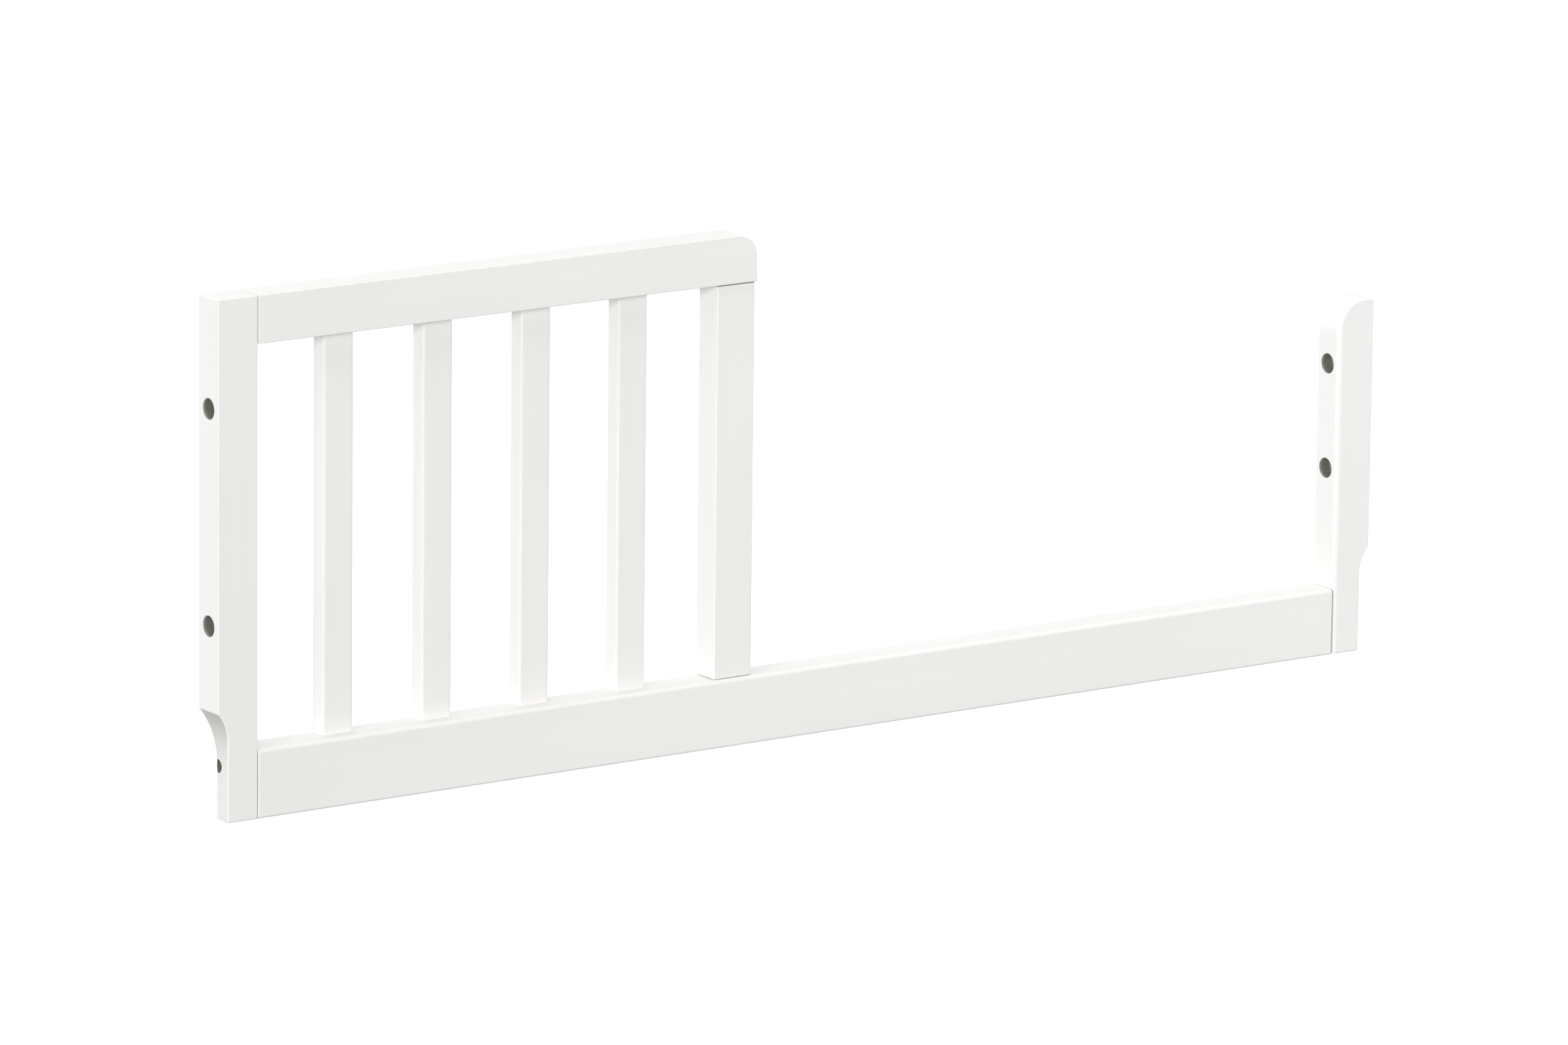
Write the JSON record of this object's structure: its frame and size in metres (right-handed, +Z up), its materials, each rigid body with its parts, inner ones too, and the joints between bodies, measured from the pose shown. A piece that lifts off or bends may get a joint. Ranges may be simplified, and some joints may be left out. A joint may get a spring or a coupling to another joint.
{
  "type": "toddler bed guard rail",
  "caption": "White wooden rail that turns a crib into a toddler bed: slatted guard at one end, low open entry at the other, bolted between the crib's legs.",
  "frame": {"origin": "middle of the footprint, on the lower edge of the bottom rail", "axes": "+X along the rail from the tall post to the short post, front face towards -Y, +Z up"},
  "size_m": [1.335, 0.035, 0.495],
  "materials": {
    "painted_wood": "satin white paint",
    "bare_wood": "bare beech"
  },
  "bodies": {
    "root": {"left_post": "painted_wood", "right_post": "painted_wood", "centre_post": "painted_wood", "top_rail": "painted_wood", "bottom_rail": "painted_wood", "slat_1": "painted_wood", "slat_2": "painted_wood", "slat_3": "painted_wood", "slat_4": "painted_wood", "dowels_top_rail_to_left_post": "bare_wood", "dowels_bottom_rail_to_left_post": "bare_wood", "dowels_bottom_rail_to_right_post": "bare_wood", "dowels_top_rail_to_centre_post": "bare_wood", "dowels_bottom_rail_to_centre_post": "bare_wood"}
  },
  "joints": []
}
